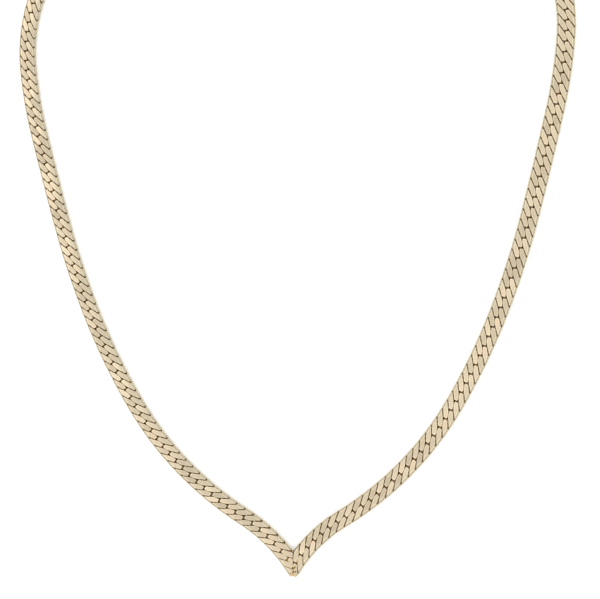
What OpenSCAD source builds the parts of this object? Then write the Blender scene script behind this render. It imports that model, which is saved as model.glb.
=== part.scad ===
// A V-shaped collar necklace: a tight, flat curb-link chain whose two legs are
// mitred and soldered where they meet, closed at the back of the neck by a plain clasp.
// It lies flat, face up: +Z is up out of its face and the point of the V is towards -Y.

/* [Chain] */
// Width of the chain across its flat face
chain_w = 3.6; // [3.5:0.05:3.8]
// Thickness of the chain
chain_t = 1.5; // [1.2:0.1:2]
// Distance from one link to the next along the chain
link_pitch = 2; // [1.95:0.05:2.1]
// Slope of a bar's outer part, from the chain's length
bar_slope = 38.6; // [38:0.1:40]
// Clear space between one bar and the next along the chain
bar_gap = 0.2; // [0.19:0.01:0.24]
// Slope of a bar's inner part, from the chain's length
tip_slope = 22.8; // [22:0.1:24]
// Clear space between the bars that pass each other along the middle
middle_gap = 0.17; // [0.17:0.01:0.2]
// Width of a link's bar at its inner tip
bar_tip_w = 0.74; // [0.7:0.01:0.74]
// How far an inner tip lies to the side of the chain's middle line
tip_side = 0.24; // [0.24:0.01:0.26]
// Clear space between the facing tips of one link and the next but one
tip_gap = 0.25; // [0.2:0.01:0.3]
// Clear space between the front and the back bars that cross
layer_gap = 0.12; // [0.1:0.01:0.2]

// Distance from the point of the V to the middle of the first link of the left leg
left_first = 1.87; // [1.8:0.01:1.9]
// Distance from the point of the V to the middle of the first link of the right leg
right_first = 0.88; // [0.8:0.01:0.95]

/* [V joint] */
// Angle of the chain above the horizontal where the legs meet
tip_angle = 56; // [54:1:58]
// Height of the blunt point below the middle of the mitre
point_drop = 2.15; // [2:0.05:2.4]
// Thickness of the solder inside the joint
solder_t = 1; // [0.8:0.1:1.1]
// How far the solder runs up each leg
solder_run = 2.8; // [2.4:0.1:2.9]

/* [Clasp] */
// Length of the clasp's body
clasp_l = 12.4; // [11.4:0.1:12.4]
// Width of the clasp's body
clasp_w = 4.2; // [3.8:0.1:5]
// Radius of the clasp's corners
clasp_corner = 0.8; // [0.4:0.1:1.5]

/* [Hidden] */
$fn = 32;

gold = [0.86, 0.76, 0.58];
solder_gold = [0.83, 0.72, 0.5];

// The right leg's middle line, from the point of the V up to the back arc.
// Columns: length along the chain in mm, turn in degrees (a plus turns towards the inside).
LENGTH = 0;
TURN = 1;
leg_rows = [
    [4, -7],
    [10, -17.5],
    [12, 10],
    [20, 17.5],
    [20, 9],
    [20, 7],
    [20, 1.5],
    [14, 8.5],
    [15, 26],
    [2, 0],
];

// A place on the line is [x, y, direction in degrees]. This is the place one row further on.
function turned(place, run, turn) =
    let (r = turn == 0 ? 0 : run / (turn * PI / 180), a = place[2])
    turn == 0
        ? [place[0] + run * cos(a), place[1] + run * sin(a), a]
        : [place[0] + r * (sin(a + turn) - sin(a)), place[1] - r * (cos(a + turn) - cos(a)), a + turn];
function starts_of(rows, first) = [
    for (i = 0, p = first; i <= len(rows); p = i < len(rows) ? turned(p, rows[i][LENGTH], rows[i][TURN]) : p, i = i + 1)
    p
];
function total(rows, n) = n == 0 ? 0 : rows[n - 1][LENGTH] + total(rows, n - 1);

// The back arc turns the line level, and leaves half of the clasp straight at its end.
clasp_half = 7;
leg_end = starts_of(leg_rows, [0, 0, tip_angle])[len(leg_rows)];
back_turn = 180 - leg_end[2];
back_r = (leg_end[0] - clasp_half) / sin(leg_end[2]);
all_rows = concat(leg_rows, [[back_r * back_turn * PI / 180, back_turn], [clasp_half, 0]]);
half_length = total(all_rows, len(all_rows));
back_y = leg_end[1] + back_r * (1 - cos(back_turn));

// The origin is under the middle of the whole necklace.
tip_y = -(back_y + max(chain_w, clasp_w) / 2 - point_drop) / 2;
starts = starts_of(all_rows, [0, tip_y, tip_angle]);
ends = [for (i = [1:len(all_rows)]) total(all_rows, i)];
function row_at(s, i = 0) = i == len(ends) - 1 || s <= ends[i] ? i : row_at(s, i + 1);
function place_at(s) =
    let (i = row_at(s), run = s - (i == 0 ? 0 : ends[i - 1]))
    s < 0
        ? turned(starts[0], s, 0)
        : turned(starts[i], run, all_rows[i][TURN] * run / all_rows[i][LENGTH]);

// One link. Its middle is at the origin and the chain runs along Y.
layer_t = (chain_t - layer_gap) / 2;
tip_r = bar_tip_w / 2;
reach = link_pitch - sqrt(pow(tip_r + tip_gap / 2, 2) - pow(tip_side, 2));
// The flanks of the right front bar are lines, each given by the direction across it and its
// distance from the link's middle. gap_middle is that of the middle of the gap below the bar.
across_bar = [cos(bar_slope), sin(bar_slope)];
across_tip = [cos(tip_slope), sin(tip_slope)];
middle_flank = link_pitch / 2 * sin(tip_slope) + middle_gap / 2;
gap_middle = 0.38;
inner_flank = gap_middle + bar_gap / 2;
outer_flank = gap_middle + link_pitch * sin(bar_slope) - bar_gap / 2;
// Where the line across n at distance c meets the line across m at distance d.
function meet(n, c, m, d) =
    let (k = n[0] * m[1] - n[1] * m[0])
    [(c * m[1] - d * n[1]) / k, (d * n[0] - c * m[0]) / k];
// The sharp corner of a bar at the chain's edge is round, and so is its tip.
corner_r = 0.3;
corner = meet(across_bar, inner_flank + corner_r, [1, 0], chain_w / 2 - corner_r);
tip = [tip_side, reach];
// A straight flank ends a little inside the round end that it meets.
flank = 0.95;
shoulder_x = 0.95;
shoulder = meet(across_bar, outer_flank, [1, 0], shoulder_x);
to_shoulder = shoulder - tip;
tip_turn = atan2(to_shoulder[1], to_shoulder[0]) + acos(tip_r / norm(to_shoulder));
bar_outline = [
    meet(across_bar, outer_flank, [1, 0], chain_w / 2),
    shoulder,
    tip + flank * tip_r * [cos(tip_turn), sin(tip_turn)],
    tip - (tip * across_tip - middle_flank) * across_tip,
    meet(across_bar, inner_flank, across_tip, middle_flank),
    corner - flank * corner_r * across_bar,
    corner + flank * corner_r * [1, 0],
];
// Posts join the front bars to the back ones, inside the overlap of the two.
post_h = 0.9;
wrap_r = 0.38;
wrap_x = 1.36;
neck_r = 0.11;

// The links of a leg are numbered from the joint: those before first_free are soldered in it,
// and clasp_link is soldered to the clasp.
function first_of(side) = side > 0 ? right_first : left_first;
first_free = 2;
clasp_link = ceil((half_length - clasp_half - left_first) / link_pitch);

// A bar from the edge of the chain to its inner tip, on one face. A turn of 180 makes the other one.
module bar(turn) {
    rotate([0, 0, turn]) {
        linear_extrude(layer_t)
            polygon(bar_outline);
        translate([tip[0], tip[1], 0])
            cylinder(r = tip_r, h = layer_t);
        translate([corner[0], corner[1], 0])
            cylinder(r = corner_r, h = layer_t);
    }
}

// The two bars of one face.
module face_bars() {
    bar(0);
    bar(180);
}

// A closed loop of wire, pressed flat: it goes over at one quarter and under at the next,
// so that each link passes through the hole of the next one.
module link() {
    union() {
        translate([0, 0, chain_t - layer_t])
            face_bars();
        mirror([1, 0, 0])
            face_bars();
        for (side = [-1, 1]) {
            translate([side * wrap_x, 0, (chain_t - post_h) / 2])
                cylinder(r = wrap_r, h = post_h);
            translate([0, side * reach, (chain_t - post_h) / 2])
                cylinder(r = neck_r, h = post_h, $fn = 16);
        }
    }
}

// A link by its number along the right leg (side 1) or the left one (side -1).
module link_on(side, i) {
    p = place_at(first_of(side) + i * link_pitch);
    translate([side * p[0], p[1], 0])
        rotate([0, 0, side * (p[2] - 90)])
            link();
}

module chain(side) {
    for (i = [first_free:clasp_link - 1])
        link_on(side, i);
}

module left_chain() {
    color(gold)
        chain(-1);
}

module right_chain() {
    color(gold)
        chain(1);
}

// A point beside the right leg's middle line, by distance along it and offset to its left.
function beside(s, offset) =
    let (p = place_at(s))
    [p[0] - offset * sin(p[2]), p[1] + offset * cos(p[2])];

// The last links of both legs, cut to the mitre and the blunt point, and the solder in them.
module v_joint() {
    point_y = tip_y - point_drop;
    room = 12;
    rim = 0.15;
    core_w = chain_w / 2 - rim;
    notch_y = tip_y + core_w / cos(tip_angle);
    point_x = (core_w / cos(tip_angle) - point_drop) / tan(tip_angle);
    inner = beside(solder_run, core_w);
    outer = beside(solder_run, -core_w);
    color(solder_gold)
        union() {
            for (side = [-1, 1])
                intersection() {
                    for (i = [-2:first_free - 1])
                        link_on(side, i);
                    translate([side * room / 2, point_y + room / 2, chain_t / 2])
                        cube([room, room, 2 * chain_t], center = true);
                }
            translate([0, 0, (chain_t - solder_t) / 2])
                linear_extrude(solder_t)
                    polygon([
                        [0, notch_y],
                        inner,
                        outer,
                        [point_x, point_y],
                        [-point_x, point_y],
                        [-outer[0], outer[1]],
                        [-inner[0], inner[1]],
                    ]);
        }
}

// A plain closed body with a soldered link at each end.
module clasp() {
    p = place_at(half_length);
    color(gold)
        union() {
            for (side = [-1, 1])
                link_on(side, clasp_link);
            translate([-clasp_l / 2 + clasp_corner, p[1] - clasp_w / 2, 0])
                cube([clasp_l - 2 * clasp_corner, clasp_w, chain_t]);
            translate([-clasp_l / 2, p[1] - clasp_w / 2 + clasp_corner, 0])
                cube([clasp_l, clasp_w - 2 * clasp_corner, chain_t]);
            for (x = [-1, 1], y = [-1, 1])
                translate([x * (clasp_l / 2 - clasp_corner), p[1] + y * (clasp_w / 2 - clasp_corner), 0])
                    cylinder(r = clasp_corner, h = chain_t);
        }
}

left_chain();
right_chain();
v_joint();
clasp();
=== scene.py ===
"""A V-shaped collar of tight, flat curb chain in pale gold, lying face up.

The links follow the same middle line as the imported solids: two mirrored legs from the
point of the V up to a clasp behind the neck. The lengths named below are millimetres,
unless they say metres.
"""
import math
import random
from collections import namedtuple
from itertools import accumulate

import bmesh
import bpy
from mathutils import Matrix, Vector


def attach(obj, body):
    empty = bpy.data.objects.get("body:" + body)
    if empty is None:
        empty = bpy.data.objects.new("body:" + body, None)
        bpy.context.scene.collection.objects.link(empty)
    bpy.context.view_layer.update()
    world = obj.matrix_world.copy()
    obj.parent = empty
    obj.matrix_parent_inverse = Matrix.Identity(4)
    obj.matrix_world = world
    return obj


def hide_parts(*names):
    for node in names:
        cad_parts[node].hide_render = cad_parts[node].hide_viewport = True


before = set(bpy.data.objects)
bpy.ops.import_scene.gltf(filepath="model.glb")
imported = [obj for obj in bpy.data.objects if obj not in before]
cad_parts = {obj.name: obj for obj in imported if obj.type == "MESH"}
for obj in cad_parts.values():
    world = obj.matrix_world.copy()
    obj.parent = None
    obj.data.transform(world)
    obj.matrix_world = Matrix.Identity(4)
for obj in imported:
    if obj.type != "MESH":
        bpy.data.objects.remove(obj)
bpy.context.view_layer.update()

bl_info = {
    "name": "V-shaped curb chain collar",
    "version": (1, 0, 0),
    "blender": (4, 5, 0),
    "location": "3D View > Sidebar > Collar",
    "description": "Builds the links, the mitred joint and the clasp of a flat curb collar",
    "category": "Object",
}

# One millimetre in metres.
MM = 0.001
# Points closer than this, in metres, are taken as one.
SAME_POINT = 1e-7

# Sizes of the middle line

# Rows of one leg, from the point of the V: length along it, and turn in degrees.
LEG_ROWS = [
    (4, -7), (10, -17.5), (12, 10), (20, 17.5), (20, 9),
    (20, 7), (20, 1.5), (14, 8.5), (15, 26), (2, 0),
]
# A row that turns by less than this, in degrees, is straight.
STRAIGHT = 1e-9
# Direction of the right leg at the point, in degrees from the X axis.
TIP_ANGLE = 56.0
# From the middle of the mitre down to the blunt end of the point.
POINT_DROP = 2.15
# Half of the straight stretch at the back, and the width of the clasp that it carries.
CLASP_STRAIGHT = 7.0
CLASP_WIDE = 4.2

# Sizes of the links

# A station of a link's loop has its centre, half its width across the bar, half its thickness
# towards the outside, the sharpness of its outer edges up to the next station and of its own
# outer edge, how deep it lies and so how much brown painted shade it takes (0 is the polished
# face and 1 the inside of the weave), and its share of the painted shade, a darker and greyer
# gold, that the chain's sides take.
Station = namedtuple("Station", "centre across outwards next_edges own_edge depth side")
# One quarter of the loop, from its left edge over the front face to the neck below its lower tip.
LINK_QUARTER = [
    ((-1.465, 0.670, 1.00), (0.000, 0.860, 0.00), (-0.30, 0.00, 0.17), 0.5, 0.0, 0.05, 1.0),
    ((-1.270, -0.010, 1.15), (0.000, 0.845, 0.00), (0.00, 0.00, 0.35), 0.72, 0.0, 0.05, 0.55),
    ((-0.700, -0.678, 1.15), (0.238, 0.618, 0.00), (0.00, 0.00, 0.35), 0.72, 0.0, 0.0, 0.0),
    ((-0.318, -1.350, 1.15), (0.452, 0.196, 0.00), (0.00, 0.00, 0.35), 0.75, 0.0, 0.0, 0.0),
    ((-0.170, -1.935, 1.15), (0.398, 0.055, 0.00), (0.00, -0.04, 0.35), 0.3, 0.2, 0.0, 0.0),
    ((0.000, -1.760, 0.75), (0.300, 0.000, 0.08), (0.00, -0.22, 0.00), 0.3, 0.0, 1.0, 0.0),
]
# Sizes of the chain that the quarter is written for.
LINK_TABLE_WIDTH = 3.6
LINK_TABLE_PITCH = 2.0
LINK_TABLE_THICKNESS = 1.5
# Share of its rock that a link takes about each of its axes.
ROCK_SHARES = (("X", 0.6), ("Y", 1.0), ("Z", 0.8))
# Subdivisions of a link, and of a soldered link before it is cut.
LINK_LEVELS = 2
CUT_LINK_LEVELS = 3
# Links are numbered up the leg. These are the lowest soldered one, which is cut away in part,
# the first loose one, and the first one of the stretch round the neck.
SOLDERED_FIRST = -2
FREE_FIRST = 2
NECK_FIRST = 50
# Tone of the soldered links, where the darkest links have 0 and the lightest 1.
SOLDERED_TONE = 0.5

# Sizes of the joint, with places measured from the middle of the mitre

# Slots pressed in the faces at the point: both ends, radius and depth.
SLOTS = [
    ((0.13, -0.32), (0.47, -0.10), 0.21, 0.32),
    ((-0.32, -0.38), (-0.06, -0.44), 0.16, 0.24),
    ((0.11, -0.88), (0.04, -1.42), 0.19, 0.36),
    ((0.62, -0.86), (0.44, -1.12), 0.17, 0.28),
    ((-0.48, -1.50), (-0.12, -1.74), 0.34, 0.13),
    ((0.34, -1.78), (0.52, -1.62), 0.26, 0.11),
]
# How far from a slot the mesh is made finer, in radii, and how many cuts its edges get.
SLOT_REACH = 1.4
SLOT_CUTS = 2
# How deep a slot starts to take painted shade, over what further depth, and how dark it is at the
# most.
SHADE_START = 0.08
SHADE_RUN = 0.14
SLOT_SHADE = 0.36
# Outline of the solder that fills the lower links of the left leg.
FILL_OUTLINE = [
    (-2.75, 1.38), (-2.30, 0.90), (-1.30, 0.80), (-0.60, 1.05), (-0.20, 0.42),
    (-0.12, -0.60), (-0.15, -1.55), (-0.62, -1.72), (-1.02, -0.98), (-1.90, 0.30),
]
# Outline of the solder between the cut links at the point.
END_OUTLINE = [(-0.80, -1.30), (-0.62, -1.80), (0.62, -1.80), (0.80, -1.30)]
# How far the links stop short of the end of the point, at this distance from the middle.
END_SHORT = 0.24
END_SIDE = 0.85
# Where solder starts to stain the faces, over what length, and how much.
STAIN_START = -1.2
STAIN_LENGTH = 0.8
STAIN = 0.25
# How far the solder between the layers of bars stays inside the edges, how far up a leg it
# runs, and how much brown painted shade it takes.
CORE_INSET = 0.5
CORE_RUN = 2.8
CORE_SHADE = 0.8
# The two beads of solder that round off the point: place and half sizes, and their facets.
BEADS = [((-0.37, -1.67), (0.56, 0.44, 0.70)), ((0.37, -1.69), (0.54, 0.44, 0.70))]
BEAD_SEGMENTS = 32
BEAD_RINGS = 20
# Rounding of the rims of the mitre, of the cuts at the point, and of the solder's pieces.
MITRE_RIM = 0.03
LOBE_RIM = 0.12
CORE_RIM = 0.05
SOLDER_RIM = 0.14

# Sizes of the clasp's seam

# Half of its gap, and the rounding of its rims.
CLASP_SEAM_HALF = 0.01
CLASP_RIM = 0.1

# Looks of the gold

# Each noise has its features per metre and its detail.
PATCHES = (900, 3.0)
WEAR = (5200, 4.0)
LINES = (2600, 3.0)
CROSS_LINES = (2300, 3.0)
FLOW = (1800, 4.0)
GRAIN = (3500, 3.0)
# Values of a noise between which it takes effect.
PATCH_RANGE = (0.35, 0.65)
WEAR_RANGE = (0.3, 0.75)
# How much warmer a patch and a link's own tone make the gold at the most.
PATCH_SHARE = 0.5
TONE_SHARE = 0.5
# Brightness of the darkest and of the lightest link.
TONE_SHADES = (0.77, 1.11)
# Factor that turns the tone of a link into a second random number.
TONE_FACTOR = 7.3
# Roughness of the links and of the clasp, and by how much wear changes it.
LINK_ROUGHNESS = 0.24
CLASP_ROUGHNESS = 0.26
WEAR_ROUGHNESS = (-0.04, 0.08)
# Depths in the weave between which the gold turns to brown painted shade, how much wear shifts
# them, and the roughness that comes with the brown.
BROWN_RANGE = (0.05, 0.45)
BROWN_WEAR = 0.12
BROWN_ROUGHNESS = 0.3
# Fine wear lines: their direction, how each set is drawn out, their strength and their depth.
LINE_TURN = math.radians(35)
LINE_STRETCH = (9.0, 0.8, 4.0)
CROSS_STRETCH = (0.8, 8.0, 4.0)
LINE_STRENGTH = 0.35
LINE_DEPTH = 0.004
# Solder: values of its flow between which it turns warmer and how much, values between which
# it gets rougher and its roughness there, and the strength and the depth of its grain.
SOLDER_WARM_RANGE = (0.35, 0.7)
SOLDER_WARM_SHARE = 0.8
SOLDER_ROUGH_RANGE = (0.3, 0.7)
SOLDER_ROUGHNESS = (0.34, 0.5)
GRAIN_STRENGTH = 0.5
GRAIN_DEPTH = 0.03
# Places of a colour mix's sockets, as several of them share a name.
MIX_FACTOR, MIX_FIRST, MIX_SECOND, MIX_RESULT = 0, 6, 7, 2

# The studio

# Brightness by height, where 0 is level with the floor and 1 is straight above, and its tint.
STUDIO_LEVELS = [
    (0.02, 0.38), (0.44, 0.42), (0.56, 1.26), (0.80, 1.26), (0.90, 0.82), (0.98, 0.82),
]
STUDIO_TINT = (1.0, 0.995, 0.98)
# Half of the floor's side in metres, and how rough and how shiny it is.
FLOOR_HALF = 12.0
FLOOR_ROUGHNESS = 0.9
FLOOR_SHINE = 0.1
# Width of the camera's sensor, width of the picture in pixels, and the place that its middle shows.
SENSOR_WIDTH = 36.0
IMAGE_WIDTH = 600
AIM = (2.327, -21.793, LINK_TABLE_THICKNESS / 2)
# The nearest and the farthest distance that the camera sees, in metres.
CLIP_NEAR = 0.01
CLIP_FAR = 20.0


# Settings

class ChainSettings(bpy.types.PropertyGroup):
    width: bpy.props.FloatProperty(
        name="Width", description="Width of the chain across its face",
        default=3.6 * MM, unit="LENGTH")
    thickness: bpy.props.FloatProperty(
        name="Thickness", description="Thickness of the chain",
        default=1.5 * MM, unit="LENGTH")
    pitch: bpy.props.FloatProperty(
        name="Pitch", description="Distance from one link to the next",
        default=2.0 * MM, unit="LENGTH")
    left_first: bpy.props.FloatProperty(
        name="First link, left", description="First link of the left leg, from the point",
        default=1.87 * MM, unit="LENGTH")
    right_first: bpy.props.FloatProperty(
        name="First link, right", description="First link of the right leg, from the point",
        default=0.88 * MM, unit="LENGTH")
    rock: bpy.props.FloatProperty(
        name="Rock", description="How far a link may tilt in its neighbours",
        default=math.radians(0.7), unit="ROTATION")


class GoldSettings(bpy.types.PropertyGroup):
    face: bpy.props.FloatVectorProperty(
        name="Gold", description="Colour of the polished gold", subtype="COLOR",
        size=4, default=(0.70, 0.61, 0.44, 1.0))
    warm: bpy.props.FloatVectorProperty(
        name="Warm gold", description="Colour of the gold where it is warmer", subtype="COLOR",
        size=4, default=(0.73, 0.59, 0.42, 1.0))
    # Brown painted shade inside the weave, which also colours the solder stain at the point.
    shade_and_stain: bpy.props.FloatVectorProperty(
        name="Recess", description="Colour of the gold inside the weave", subtype="COLOR",
        size=4, default=(0.58, 0.42, 0.13, 1.0))
    # Painted shade: a darker, greyer gold along the chain's sides.
    side: bpy.props.FloatVectorProperty(
        name="Sides", description="Colour of the gold along the chain's sides", subtype="COLOR",
        size=4, default=(0.555, 0.495, 0.37, 1.0))
    rim: bpy.props.FloatVectorProperty(
        name="Rim", description="Colour of the gold seen along its surface", subtype="COLOR",
        size=4, default=(0.82, 0.68, 0.45, 1.0))
    solder: bpy.props.FloatVectorProperty(
        name="Solder", description="Colour of the solder in the joint", subtype="COLOR",
        size=4, default=(0.62, 0.49, 0.26, 1.0))


class JointSettings(bpy.types.PropertyGroup):
    lean: bpy.props.FloatProperty(
        name="Mitre lean", description="How far the mitre leans from the middle line",
        default=math.radians(1.6), unit="ROTATION")
    seam: bpy.props.FloatProperty(
        name="Seam", description="Width of the mitre's seam",
        default=0.006 * MM, unit="LENGTH")
    core: bpy.props.FloatProperty(
        name="Core", description="Thickness of the solder between the two layers of bars",
        default=0.4 * MM, unit="LENGTH")
    fill: bpy.props.FloatProperty(
        name="Fill", description="Thickness of the solder that fills the gaps at the point",
        default=0.96 * MM, unit="LENGTH")
    end: bpy.props.FloatProperty(
        name="End", description="Thickness of the solder between the links at the point",
        default=1.14 * MM, unit="LENGTH")
    notch: bpy.props.FloatProperty(
        name="Notch", description="Slope of the two lobes of the blunt point",
        default=math.radians(14), unit="ROTATION")


class ClaspSettings(bpy.types.PropertyGroup):
    length: bpy.props.FloatProperty(
        name="Length", description="Length of the clasp's body",
        default=12.4 * MM, unit="LENGTH")
    corner: bpy.props.FloatProperty(
        name="Corner", description="Radius of the clasp's corners",
        default=0.8 * MM, unit="LENGTH")
    edge: bpy.props.FloatProperty(
        name="Edge", description="Rounding of the clasp's edges",
        default=0.3 * MM, unit="LENGTH")
    seam: bpy.props.FloatProperty(
        name="Seam", description="Place of the seam between the body and its tongue",
        default=3.8 * MM, unit="LENGTH")


class StageSettings(bpy.types.PropertyGroup):
    floor: bpy.props.FloatVectorProperty(
        name="Floor", description="Colour of the floor", subtype="COLOR",
        size=4, default=(0.98, 0.98, 0.975, 1.0))
    glow: bpy.props.FloatProperty(
        name="Glow", description="Light of the pale floor itself", default=0.145)
    light: bpy.props.FloatProperty(
        name="Light", description="Strength of the studio's light", default=1.3)
    yaw: bpy.props.FloatProperty(
        name="Yaw", description="How far the camera stands to the right of the face",
        default=math.radians(12), unit="ROTATION")
    roll: bpy.props.FloatProperty(
        name="Roll", description="How far the chain leans left in the picture",
        default=math.radians(1.067), unit="ROTATION")
    distance: bpy.props.FloatProperty(
        name="Distance", description="Distance from the camera to the chain",
        default=234.8 * MM, unit="LENGTH")
    view_pixels: bpy.props.FloatProperty(
        name="Focal length", description="Focal length in pixels of the picture",
        default=1181.0, subtype="PIXEL")


# The middle line

def turned(place, run, turn):
    """The place at the end of a stretch that turns evenly; angles are in degrees."""
    x, y, angle = place
    a, b = math.radians(angle), math.radians(angle + turn)
    if abs(turn) < STRAIGHT:
        return (x + run * math.cos(a), y + run * math.sin(a), angle)
    r = run / (b - a)
    return (x + r * (math.sin(b) - math.sin(a)), y - r * (math.cos(b) - math.cos(a)), angle + turn)


def walk(rows, place):
    """The places between the rows, with both ends."""
    places = [place]
    for run, turn in rows:
        places.append(turned(places[-1], run, turn))
    return places


def leg_line():
    """Rows of the whole half, where each starts, the length up to each end, and the mitre's Y."""
    end_x, end_y, end_angle = walk(LEG_ROWS, (0.0, 0.0, TIP_ANGLE))[-1]
    back_turn = 180.0 - end_angle
    back_r = (end_x - CLASP_STRAIGHT) / math.sin(math.radians(end_angle))
    back_y = end_y + back_r * (1 - math.cos(math.radians(back_turn)))
    rows = LEG_ROWS + [(back_r * math.radians(back_turn), back_turn), (CLASP_STRAIGHT, 0)]
    tip_y = -(back_y + CLASP_WIDE / 2 - POINT_DROP) / 2
    ends = list(accumulate(run for run, _ in rows))
    return rows, walk(rows, (0.0, tip_y, TIP_ANGLE)), ends, tip_y


ROWS, STARTS, ENDS, TIP_Y = leg_line()
# Length of one half, from the point to the middle of the clasp.
HALF_LENGTH = ENDS[-1]


def place_at(s):
    """x, y in millimetres and direction in degrees, at a distance along the right leg."""
    if s < 0:
        return turned(STARTS[0], s, 0)
    i = next((i for i, end in enumerate(ENDS) if s <= end), len(ENDS) - 1)
    run = s - (ENDS[i - 1] if i else 0.0)
    return turned(STARTS[i], run, ROWS[i][1] * run / ROWS[i][0])


def beside(s, offset):
    """A point in millimetres beside the right leg's middle line, offset to its left."""
    x, y, direction = place_at(s)
    a = math.radians(direction)
    return (x - offset * math.sin(a), y + offset * math.cos(a))


def link_distance(side, number):
    """How far up its leg a link lies, in millimetres."""
    chain = bpy.context.scene.collar_chain
    first = chain.right_first if side > 0 else chain.left_first
    return (first + number * chain.pitch) / MM


def link_place(side, number):
    """Moves a link from the origin, where the chain runs along Y, to its place."""
    x, y, direction = place_at(link_distance(side, number))
    turn = Matrix.Rotation(math.radians(side * (direction - 90)), 4, "Z")
    return Matrix.Translation((side * x * MM, y * MM, 0)) @ turn


def clasp_number():
    """Number of the links soldered to the clasp, the first on the straight stretch at the back."""
    chain = bpy.context.scene.collar_chain
    run = HALF_LENGTH - CLASP_STRAIGHT - chain.left_first / MM
    return math.ceil(run * MM / chain.pitch)


# Materials

def new_material(name):
    material = bpy.data.materials.new(name)
    material.use_nodes = True
    tree = material.node_tree
    return material, tree, tree.nodes["Principled BSDF"]


def add_node(tree, kind, **values):
    """A new node; each value goes to the input of its name, or else to the node's property."""
    node = tree.nodes.new(kind)
    for name, value in values.items():
        if name in node.inputs:
            node.inputs[name].default_value = value
        else:
            setattr(node, name, value)
    return node


def feed(tree, socket, value):
    """Feeds an input from another socket, or gives it a number or a colour."""
    if isinstance(value, bpy.types.NodeSocket):
        tree.links.new(value, socket)
    else:
        socket.default_value = value


def object_position(tree):
    return add_node(tree, "ShaderNodeTexCoord").outputs["Object"]


def attribute(tree, name):
    return add_node(tree, "ShaderNodeAttribute", attribute_name=name).outputs["Fac"]


def mix_colours(tree, factor, first, second, blend="MIX"):
    """A colour mix. Each of the three is a socket, a number or a colour."""
    node = add_node(tree, "ShaderNodeMix", data_type="RGBA", blend_type=blend)
    feed(tree, node.inputs[MIX_FACTOR], factor)
    feed(tree, node.inputs[MIX_FIRST], first)
    feed(tree, node.inputs[MIX_SECOND], second)
    return node.outputs[MIX_RESULT]


def map_range(tree, value, before, after):
    """Maps one range of values to another, and holds what lies outside at its ends."""
    node = add_node(tree, "ShaderNodeMapRange", clamp=True)
    feed(tree, node.inputs["Value"], value)
    for word, (low, high) in (("From", before), ("To", after)):
        feed(tree, node.inputs[f"{word} Min"], low)
        feed(tree, node.inputs[f"{word} Max"], high)
    return node.outputs["Result"]


def noise(tree, position, kind, stretch=None):
    """Noise on a position, and along the wear lines if it is drawn out."""
    scale, detail = kind
    if stretch:
        mapping = add_node(tree, "ShaderNodeMapping", Scale=stretch, Rotation=(0.0, 0.0, LINE_TURN))
        feed(tree, mapping.inputs["Vector"], position)
        position = mapping.outputs["Vector"]
    node = add_node(tree, "ShaderNodeTexNoise", Scale=scale, Detail=detail)
    feed(tree, node.inputs["Vector"], position)
    return node.outputs["Fac"]


def calculate(tree, operation, first, second=0.0):
    """One step of arithmetic on sockets or numbers."""
    node = add_node(tree, "ShaderNodeMath", operation=operation)
    feed(tree, node.inputs[0], first)
    feed(tree, node.inputs[1], second)
    return node.outputs[0]


def raise_surface(tree, shader, height, strength, depth):
    """Bump from a height, where the full height stands for a depth in millimetres."""
    bump = add_node(tree, "ShaderNodeBump", Strength=strength, Distance=depth * MM)
    feed(tree, bump.inputs["Height"], height)
    feed(tree, shader.inputs["Normal"], bump.outputs["Normal"])


def weave_colours(tree, colour, tone, worn):
    """Lighter and darker links, painted shade on the sides and brown painted shade in the depths,
    which also carries the solder stain, and how deep each point lies.
    """
    gold = bpy.context.scene.collar_gold
    shade = map_range(tree, tone, (0.0, 1.0), TONE_SHADES)
    grey = tree.nodes.new("ShaderNodeCombineColor")
    for socket in grey.inputs[:3]:
        feed(tree, socket, shade)
    colour = mix_colours(tree, 1.0, colour, grey.outputs[0], "MULTIPLY")
    # Painted shade: a darker, greyer gold along the chain's sides.
    colour = mix_colours(tree, attribute(tree, "side"), colour, gold.side)
    # Brown painted shade deep in the weave and in the slots, with the solder stain at the point; wear
    # shifts where it starts.
    shift = calculate(tree, "MULTIPLY", calculate(tree, "SUBTRACT", worn, 0.5), BROWN_WEAR)
    shade_and_stain = calculate(tree, "ADD", attribute(tree, "shade_and_stain"), shift)
    depth = map_range(tree, shade_and_stain, BROWN_RANGE, (0.0, 1.0))
    return mix_colours(tree, depth, colour, gold.shade_and_stain), depth


def gold_material(name, roughness, with_links):
    """Polished gold with warmer patches and fine wear lines, and with the links' tones and their
    painted shade.
    """
    gold = bpy.context.scene.collar_gold
    material, tree, shader = new_material(name)
    position = object_position(tree)

    patches = map_range(tree, noise(tree, position, PATCHES), PATCH_RANGE, (0.0, PATCH_SHARE))
    worn = map_range(tree, noise(tree, position, WEAR), WEAR_RANGE, (0.0, 1.0))
    rough = map_range(tree, worn, (0.0, 1.0), [roughness + change for change in WEAR_ROUGHNESS])
    if with_links:
        tone = attribute(tree, "tone")
        second_tone = calculate(tree, "FRACT", calculate(tree, "MULTIPLY", tone, TONE_FACTOR))
        warmth = calculate(tree, "MULTIPLY", second_tone, TONE_SHARE)
        patches = calculate(tree, "ADD", patches, warmth)
    colour = mix_colours(tree, patches, gold.face, gold.warm)
    if with_links:
        colour, depth = weave_colours(tree, colour, tone, worn)
        rough = calculate(tree, "ADD", rough, calculate(tree, "MULTIPLY", depth, BROWN_ROUGHNESS))
    feed(tree, shader.inputs["Base Color"], colour)
    feed(tree, shader.inputs["Roughness"], rough)
    shader.inputs["Metallic"].default_value = 1.0
    shader.inputs["Specular Tint"].default_value = gold.rim

    lines = noise(tree, position, LINES, LINE_STRETCH)
    cross = noise(tree, position, CROSS_LINES, CROSS_STRETCH)
    raise_surface(tree, shader, calculate(tree, "ADD", lines, cross), LINE_STRENGTH, LINE_DEPTH)
    return material


def link_gold():
    """The gold of the links, which is made once and shared."""
    name = "polished_links"
    return bpy.data.materials.get(name) or gold_material(name, LINK_ROUGHNESS, True)


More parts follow.
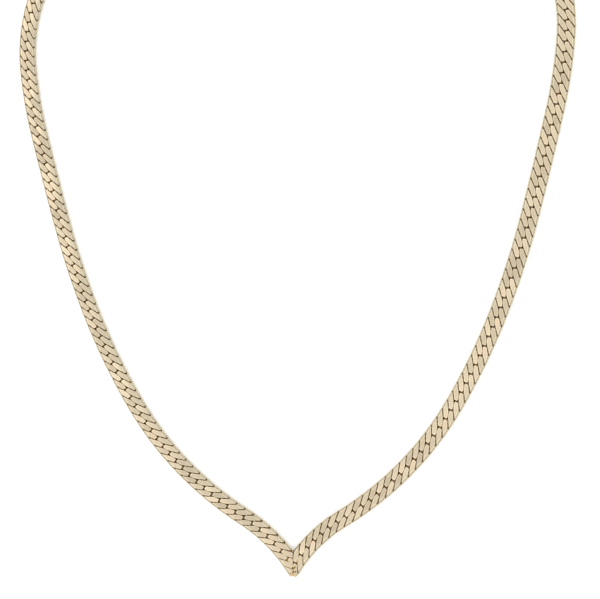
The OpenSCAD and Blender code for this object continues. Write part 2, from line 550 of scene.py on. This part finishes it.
def solder_material():
    """Solder that has run: browner and duller than the gold, with a fine grain."""
    gold = bpy.context.scene.collar_gold
    material, tree, shader = new_material("run_solder")
    position = object_position(tree)
    flow = noise(tree, position, FLOW)
    warmth = map_range(tree, flow, SOLDER_WARM_RANGE, (0.0, SOLDER_WARM_SHARE))
    feed(tree, shader.inputs["Base Color"], mix_colours(tree, warmth, gold.solder, gold.warm))
    rough = map_range(tree, flow, SOLDER_ROUGH_RANGE, SOLDER_ROUGHNESS)
    feed(tree, shader.inputs["Roughness"], rough)
    shader.inputs["Metallic"].default_value = 1.0
    raise_surface(tree, shader, noise(tree, position, GRAIN), GRAIN_STRENGTH, GRAIN_DEPTH)
    return material


# Meshes in general

def verts_of(parts):
    """The corners among the parts of a mesh."""
    return [part for part in parts if isinstance(part, bmesh.types.BMVert)]


def edges_of(parts):
    """The edges among the parts of a mesh."""
    return [part for part in parts if isinstance(part, bmesh.types.BMEdge)]


def all_parts(bm):
    return list(bm.verts) + list(bm.edges) + list(bm.faces)


def round_edges(bm, edges, radius, segments):
    bmesh.ops.bevel(
        bm, geom=edges, offset=radius, segments=segments, profile=0.5, affect="EDGES",
        clamp_overlap=True, material=-1)


def finish_piece(bm, name, material, node, weighted=False):
    """Makes the object of a finished mesh, which rides on the one body and stands for a node."""
    if not bm.faces:
        raise RuntimeError(f"{name} has no faces")
    mesh = bpy.data.meshes.new(name)
    bm.to_mesh(mesh)
    bm.free()
    mesh.shade_smooth()
    mesh.materials.append(material)
    piece = bpy.data.objects.new(name, mesh)
    bpy.context.scene.collection.objects.link(piece)
    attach(piece, "root")
    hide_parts(node)
    if weighted:
        piece.modifiers.new("Flat faces", "WEIGHTED_NORMAL").keep_sharp = True
    return piece


def soften(piece, levels):
    """Subdivides an object, the same in the viewport and in the render."""
    modifier = piece.modifiers.new("Subdivision", "SUBSURF")
    modifier.levels = modifier.render_levels = levels


def smoothed(bm, levels):
    """The same mesh with its subdivision applied."""
    mesh = bpy.data.meshes.new("rough")
    bm.to_mesh(mesh)
    bm.free()
    holder = bpy.data.objects.new("rough", mesh)
    bpy.context.scene.collection.objects.link(holder)
    soften(holder, levels)
    fine = bpy.data.meshes.new_from_object(
        holder.evaluated_get(bpy.context.evaluated_depsgraph_get()))
    result = bmesh.new()
    result.from_mesh(fine)
    bpy.data.objects.remove(holder)
    for used in (mesh, fine):
        bpy.data.meshes.remove(used)
    return result


def join_to(whole, part):
    """Adds one mesh to another and frees it. A part that was cut away entirely adds nothing."""
    if part.faces:
        bmesh.ops.recalc_face_normals(part, faces=part.faces)
        mesh = bpy.data.meshes.new("part")
        part.to_mesh(mesh)
        whole.from_mesh(mesh)
        bpy.data.meshes.remove(mesh)
    part.free()


def cut_away(bm, point, outward, rim, stain=None):
    """Cuts off what lies outside a plane, closes the cut, which may be stained, and rounds its rim."""
    bmesh.ops.bisect_plane(
        bm, geom=all_parts(bm), plane_co=point, plane_no=outward, clear_outer=True, dist=SAME_POINT)
    open_edges = [edge for edge in bm.edges if edge.is_boundary]
    if not open_edges:
        return
    caps = bmesh.ops.holes_fill(bm, edges=open_edges, sides=0)["faces"]
    if stain is not None:
        shade_and_stain = bm.verts.layers.float["shade_and_stain"]
        for cap in caps:
            for vert in cap.verts:
                vert[shade_and_stain] = stain
    round_edges(bm, [edge for edge in open_edges if not edge.is_boundary], rim, segments=2)


def slab(outline, thickness, rim):
    """A flat prism with rounded edges, at half of the chain's thickness."""
    bm = bmesh.new()
    low = LINK_TABLE_THICKNESS / 2 * MM - thickness / 2
    face = bm.faces.new([bm.verts.new((x * MM, y * MM, low)) for x, y in outline])
    made = bmesh.ops.extrude_face_region(bm, geom=[face])["geom"]
    bmesh.ops.translate(bm, vec=(0, 0, thickness), verts=verts_of(made))
    bmesh.ops.recalc_face_normals(bm, faces=bm.faces)
    round_edges(bm, list(bm.edges), rim, segments=3)
    return bm


# The links

def half_turned(part, turn, back):
    """A copy of some stations. Walked backwards, each takes its edges from the one that follows."""
    order = part[::-1] if back else part
    followers = order[1:] + order[-1:] if back else order
    way = -1 if back else 1
    middle = Vector((0, 0, LINK_TABLE_THICKNESS / 2))
    return [
        station._replace(
            centre=turn @ (station.centre - middle) + middle,
            across=turn @ station.across * way,
            outwards=turn @ station.outwards,
            next_edges=follower.next_edges)
        for station, follower in zip(order, followers)]


def link_stations():
    """All the stations round the loop, made from the one quarter by half turns."""
    over = Matrix.Rotation(math.pi, 3, "X")
    flat = Matrix.Rotation(math.pi, 3, "Z")
    quarter = [
        Station(Vector(centre), Vector(across), Vector(outwards), *rest)
        for centre, across, outwards, *rest in LINK_QUARTER]
    half = quarter + half_turned(quarter[:-1], over @ flat, True)
    return half + half_turned(half, flat, False)


def link_fit(chain):
    """Fits the table's link to the settings, with room above and below for its rock."""
    room = LINK_TABLE_WIDTH * math.sin(chain.rock) * MM
    size = Matrix.Diagonal((
        chain.width / LINK_TABLE_WIDTH, chain.pitch / LINK_TABLE_PITCH,
        (chain.thickness - room) / LINK_TABLE_THICKNESS, 1))
    return Matrix.Translation((0, 0, room / 2)) @ size


def station_frame(station):
    """Lays a square from -1 to 1 across the bar at a station."""
    along = station.across.cross(station.outwards).normalized()
    axes = Matrix((station.across, station.outwards, along)).transposed()
    return Matrix.Translation(station.centre) @ axes.to_4x4()


def sweep(bm, frames):
    """Draws a square along some frames, in an empty mesh, and gives its corners at each."""
    ring = bmesh.ops.create_circle(bm, segments=4, radius=math.sqrt(2))["verts"]
    bmesh.ops.rotate(bm, verts=ring, matrix=Matrix.Rotation(math.pi / 4, 3, "Z"))
    bmesh.ops.transform(bm, matrix=frames[0], verts=ring)
    edges = list(bm.edges)
    rings = [ring]
    for last, now in zip(frames, frames[1:]):
        made = bmesh.ops.extrude_edge_only(bm, edges=edges)["geom"]
        edges = edges_of(made)
        rings.append(verts_of(made))
        bmesh.ops.transform(bm, matrix=now @ last.inverted(), verts=rings[-1])
    return rings


def link_shape(bm):
    """The base cage of one link, at the origin of an empty mesh, with the chain along Y."""
    crease = bm.edges.layers.float.new("crease_edge")
    shade_and_stain, side, tone = [bm.verts.layers.float.new(name) for name in ("shade_and_stain", "side", "tone")]
    fit = link_fit(bpy.context.scene.collar_chain)
    stations = link_stations()
    stations.append(stations[0])
    frames = [fit @ station_frame(station) for station in stations]
    rings = sweep(bm, frames)
    outer = [
        {vert for vert in ring if (place.inverted() @ vert.co).y > 0}
        for ring, place in zip(rings, frames)]
    for i, station in enumerate(stations):
        for vert in rings[i]:
            # Brown painted shade: full on the inner side of the loop, and on its outer side as deep as
            # the station lies.
            vert[shade_and_stain] = station.depth if vert in outer[i] else 1.0
            # Painted shade on the chain's sides: each station's share of the darker, greyer gold.
            vert[side] = station.side
            vert[tone] = SOLDERED_TONE
        for vert in outer[i]:
            for edge in vert.link_edges:
                other = edge.other_vert(vert)
                if other in outer[i]:
                    edge[crease] = station.own_edge
                elif i + 1 < len(stations) and other in outer[i + 1]:
                    edge[crease] = station.next_edges
    bmesh.ops.remove_doubles(bm, verts=bm.verts, dist=SAME_POINT)
    bmesh.ops.recalc_face_normals(bm, faces=bm.faces)


def rocked(rng, rock):
    """A small turn of a link in its neighbours' hold, about its own middle."""
    middle = Vector((0, 0, LINK_TABLE_THICKNESS / 2 * MM))
    turn = Matrix.Identity(4)
    for axis, share in ROCK_SHARES:
        turn = turn @ Matrix.Rotation(rng.uniform(-rock, rock) * share, 4, axis)
    return Matrix.Translation(middle) @ turn @ Matrix.Translation(-middle)


def chain_run(side, numbers, seed):
    """Base cages of a run of links, each in its place."""
    chain = bpy.context.scene.collar_chain
    rng = random.Random(seed)
    bm = bmesh.new()
    link_shape(bm)
    tone = bm.verts.layers.float["tone"]
    original = all_parts(bm)
    for number in numbers:
        verts = verts_of(bmesh.ops.duplicate(bm, geom=original)["geom"])
        place = link_place(side, number) @ rocked(rng, chain.rock)
        bmesh.ops.transform(bm, matrix=place, verts=verts)
        shade = rng.random()
        for vert in verts:
            vert[tone] = shade
    bmesh.ops.delete(bm, geom=verts_of(original), context="VERTS")
    return bm


# The joint

def press_slots(bm):
    """Presses the slots of the point into the faces of a link, and marks painted shade in them and the
    stain at the end.
    """
    shade_and_stain = bm.verts.layers.float["shade_and_stain"]
    level = LINK_TABLE_THICKNESS / 2 * MM
    slots = []
    for start, end, radius, depth in SLOTS:
        place = (Vector(start) + Vector((0, TIP_Y))) * MM
        slots.append((place, (Vector(end) - Vector(start)) * MM, radius * MM, depth * MM))

    def nearness(vert):
        """How far a point lies from each slot's middle line, in radii, with the slot's depth."""
        for start, along, radius, depth in slots:
            share = (vert.co.xy - start).dot(along) / along.length_squared
            foot = start + along * min(1.0, max(0.0, share))
            yield (vert.co.xy - foot).length / radius, depth

    near = {
        vert for vert in bm.verts
        if vert.co.z > level and min(nearness(vert))[0] < SLOT_REACH}
    edges = [edge for edge in bm.edges if near.issuperset(edge.verts)]
    if edges:
        bmesh.ops.subdivide_edges(bm, edges=edges, cuts=SLOT_CUTS, use_grid_fill=True)
    for vert in bm.verts:
        if vert.co.z > level:
            sunk = max(depth * max(0.0, 1 - gap * gap) ** 2 for gap, depth in nearness(vert))
            vert.co.z = max(level, vert.co.z - sunk)
            # Painted shade in the slots, darker the deeper they are pressed.
            dark = (sunk - SHADE_START * MM) / (SHADE_RUN * MM)
            end = (TIP_Y + STAIN_START - vert.co.y / MM) / STAIN_LENGTH
            vert[shade_and_stain] = max(vert[shade_and_stain], min(SLOT_SHADE, dark), STAIN * min(1.0, end))


def soldered_link(side, number, joint):
    """One link of the joint, with its slots, cut at the mitre and short of the point's end."""
    bm = bmesh.new()
    link_shape(bm)
    bm = smoothed(bm, CUT_LINK_LEVELS)
    bmesh.ops.transform(bm, matrix=link_place(side, number), verts=bm.verts)
    press_slots(bm)

    slope = math.radians(TIP_ANGLE)
    corner = Vector((0, TIP_Y + LINK_TABLE_WIDTH / 2 / math.cos(slope), 0)) * MM
    outward = Vector((math.cos(joint.lean), math.sin(joint.lean), 0)) * -side
    cut_away(bm, corner - outward * joint.seam / 2, outward, MITRE_RIM * MM)
    lobe = Vector((END_SIDE * side, TIP_Y - POINT_DROP + END_SHORT, 0)) * MM
    down = Vector((-side * math.sin(joint.notch), -math.cos(joint.notch), 0))
    cut_away(bm, lobe, down, LOBE_RIM * MM, STAIN)
    return bm


def solder_core(joint):
    """The solder between the two layers of bars, from the point up both legs."""
    half = LINK_TABLE_WIDTH / 2 - CORE_INSET
    slope = math.radians(TIP_ANGLE)
    drop = POINT_DROP - CORE_INSET
    right = [
        (0, TIP_Y + half / math.cos(slope)), beside(CORE_RUN, half), beside(CORE_RUN, -half),
        ((half / math.cos(slope) - drop) / math.tan(slope), TIP_Y - drop)]
    core = slab(right + [(-x, y) for x, y in reversed(right[1:])], joint.core, CORE_RIM * MM)
    # Brown painted shade all over the solder that lies deep between the bars.
    shade_and_stain = core.verts.layers.float.new("shade_and_stain")
    for vert in core.verts:
        vert[shade_and_stain] = CORE_SHADE
    return core


def run_solder(joint):
    """The solder that fills the lower links and rounds off the point."""
    solder = bmesh.new()
    for outline, thickness in ((FILL_OUTLINE, joint.fill), (END_OUTLINE, joint.end)):
        join_to(solder, slab([(x, TIP_Y + y) for x, y in outline], thickness, SOLDER_RIM * MM))
    for (x, y), size in BEADS:
        place = Vector((x, TIP_Y + y, LINK_TABLE_THICKNESS / 2)) * MM
        bead = bmesh.ops.create_uvsphere(
            solder, u_segments=BEAD_SEGMENTS, v_segments=BEAD_RINGS, radius=MM)["verts"]
        bmesh.ops.scale(solder, vec=size, verts=bead)
        bmesh.ops.translate(solder, vec=place, verts=bead)
    return solder


# The clasp

def clasp_box(thickness, clasp):
    """The whole body of the clasp, with rounded corners and edges."""
    def upright(edge):
        return abs(edge.verts[0].co.z - edge.verts[1].co.z) > thickness / 2

    bm = bmesh.new()
    bmesh.ops.create_cube(bm, size=1.0)
    bmesh.ops.scale(bm, vec=(clasp.length, CLASP_WIDE * MM, thickness), verts=bm.verts)
    bmesh.ops.translate(bm, vec=(0, place_at(HALF_LENGTH)[1] * MM, thickness / 2), verts=bm.verts)
    round_edges(bm, [edge for edge in bm.edges if upright(edge)], clasp.corner, segments=6)
    round_edges(bm, [edge for edge in bm.edges if not upright(edge)], clasp.edge, segments=4)
    return bm


# The stage

def studio_world(light):
    """A pale ceiling inside a brighter ring of softboxes, and dark walls down to the floor."""
    world = bpy.data.worlds.new("studio")
    world.use_nodes = True
    tree = world.node_tree
    direction = add_node(tree, "ShaderNodeTexCoord").outputs["Generated"]
    split = add_node(tree, "ShaderNodeSeparateXYZ")
    feed(tree, split.inputs[0], direction)
    node = tree.nodes.new("ShaderNodeValToRGB")
    stops = node.color_ramp.elements
    for height, level in STUDIO_LEVELS:
        stops.new(height).color = (*[level * share for share in STUDIO_TINT], 1.0)
    for end in (0, -1):
        level = STUDIO_LEVELS[end][1]
        stops[end].color = (level, level, level, 1.0)
    feed(tree, node.inputs["Fac"], split.outputs["Z"])
    background = tree.nodes["Background"]
    feed(tree, background.inputs["Color"], node.outputs["Color"])
    background.inputs["Strength"].default_value = light
    return world


def pale_floor(stage):
    """A wide floor under the chain that gives off a little light of its own."""
    bm = bmesh.new()
    bmesh.ops.create_grid(bm, x_segments=1, y_segments=1, size=FLOOR_HALF)
    mesh = bpy.data.meshes.new("floor")
    bm.to_mesh(mesh)
    bm.free()
    material, _, shader = new_material("floor")
    shader.inputs["Base Color"].default_value = stage.floor
    shader.inputs["Roughness"].default_value = FLOOR_ROUGHNESS
    shader.inputs["Specular IOR Level"].default_value = FLOOR_SHINE
    shader.inputs["Emission Color"].default_value = stage.floor
    shader.inputs["Emission Strength"].default_value = stage.glow
    mesh.materials.append(material)
    return bpy.data.objects.new("floor", mesh)


def photo_camera(stage):
    """The camera above the chain, a little to its right, with the chain leaning in the picture."""
    data = bpy.data.cameras.new("camera")
    data.sensor_width = SENSOR_WIDTH
    data.sensor_fit = "HORIZONTAL"
    data.lens = stage.view_pixels * SENSOR_WIDTH / IMAGE_WIDTH
    data.clip_start = CLIP_NEAR
    data.clip_end = CLIP_FAR
    across = Vector((math.cos(stage.roll), -math.sin(stage.roll), 0))
    up = Vector((math.sin(stage.roll), math.cos(stage.roll), 0))
    back = across * math.sin(stage.yaw) + Vector((0, 0, math.cos(stage.yaw)))
    right = up.cross(back)
    eye = Matrix.Translation(Vector(AIM) * MM + back * stage.distance)
    camera = bpy.data.objects.new("camera", data)
    camera.matrix_world = eye @ Matrix((right, up, back)).transposed().to_4x4()
    return camera


# Operators

class COLLAR_OT_stage(bpy.types.Operator):
    """Lays the pale floor, sets the soft lights and places the camera"""
    bl_idname = "collar.stage"
    bl_label = "Stage"

    def execute(self, context):
        stage = context.scene.collar_stage
        floor = pale_floor(stage)
        context.scene.collection.objects.link(floor)
        context.scene.world = studio_world(stage.light)
        context.scene.view_settings.view_transform = "Standard"
        camera = photo_camera(stage)
        context.scene.collection.objects.link(camera)
        context.scene.camera = camera
        return {"FINISHED"}


class COLLAR_OT_links(bpy.types.Operator):
    """Builds the free links of both legs, in front and round the neck"""
    bl_idname = "collar.links"
    bl_label = "Curb links"

    def execute(self, context):
        last = clasp_number()
        if last <= NECK_FIRST:
            raise RuntimeError("the legs have too few links for a collar")
        for word, side in (("left", -1), ("right", 1)):
            for part, numbers in (
                ("front", range(FREE_FIRST, NECK_FIRST)),
                ("neck", range(NECK_FIRST, last)),
            ):
                bm = chain_run(side, numbers, f"{word} {part}")
                piece = finish_piece(
                    bm, f"{word}_{part}_links", link_gold(), f"{word}_chain")
                soften(piece, LINK_LEVELS)
        return {"FINISHED"}


class COLLAR_OT_joint(bpy.types.Operator):
    """Builds the mitred and soldered links at the point of the V"""
    bl_idname = "collar.joint"
    bl_label = "V joint"

    def execute(self, context):
        joint = context.scene.collar_joint
        links = bmesh.new()
        for side in (-1, 1):
            for number in range(SOLDERED_FIRST, FREE_FIRST):
                join_to(links, soldered_link(side, number, joint))
        join_to(links, solder_core(joint))
        finish_piece(links, "joint_links", link_gold(), "v_joint", weighted=True)
        finish_piece(
            run_solder(joint), "joint_solder", solder_material(), "v_joint",
            weighted=True)
        return {"FINISHED"}


class COLLAR_OT_clasp(bpy.types.Operator):
    """Builds the plain clasp behind the neck and the links soldered to its ends"""
    bl_idname = "collar.clasp"
    bl_label = "Clasp"

    def execute(self, context):
        clasp = context.scene.collar_clasp
        body = bmesh.new()
        for side in (-1, 1):
            bm = clasp_box(context.scene.collar_chain.thickness, clasp)
            seam = Vector((clasp.seam + side * CLASP_SEAM_HALF * MM, 0, 0))
            cut_away(bm, seam, Vector((-side, 0, 0)), CLASP_RIM * MM)
            join_to(body, bm)
        material = gold_material("polished_clasp", CLASP_ROUGHNESS, False)
        finish_piece(body, "clasp_body", material, "clasp", weighted=True)

        number = clasp_number()
        ends = chain_run(-1, [number], "left end")
        join_to(ends, chain_run(1, [number], "right end"))
        piece = finish_piece(ends, "clasp_end_links", link_gold(), "clasp")
        soften(piece, LINK_LEVELS)
        return {"FINISHED"}


class COLLAR_PT_panel(bpy.types.Panel):
    """Lists the steps that build the collar, and their settings"""
    bl_idname = "COLLAR_PT_panel"
    bl_label = "Curb collar"
    bl_space_type = "VIEW_3D"
    bl_region_type = "UI"
    bl_category = "Collar"

    def draw(self, context):
        for operator in OPERATORS:
            self.layout.operator(operator.bl_idname)
        for name in SETTINGS:
            box = self.layout.box()
            group = getattr(context.scene, name)
            for key in group.bl_rna.properties.keys():
                if key not in {"rna_type", "name"}:
                    box.prop(group, key)


# Registration

SETTINGS = {
    "collar_chain": ChainSettings,
    "collar_gold": GoldSettings,
    "collar_joint": JointSettings,
    "collar_clasp": ClaspSettings,
    "collar_stage": StageSettings,
}
OPERATORS = (COLLAR_OT_stage, COLLAR_OT_links, COLLAR_OT_joint, COLLAR_OT_clasp)


def register():
    for group in (*SETTINGS.values(), *OPERATORS, COLLAR_PT_panel):
        bpy.utils.register_class(group)
    for name, group in SETTINGS.items():
        setattr(bpy.types.Scene, name, bpy.props.PointerProperty(type=group))


def unregister():
    for name in SETTINGS:
        delattr(bpy.types.Scene, name)
    for group in (COLLAR_PT_panel, *reversed(OPERATORS), *SETTINGS.values()):
        bpy.utils.unregister_class(group)


def main():
    register()
    bpy.ops.collar.stage()
    bpy.ops.collar.links()
    bpy.ops.collar.joint()
    bpy.ops.collar.clasp()


if __name__ == "__main__":
    main()
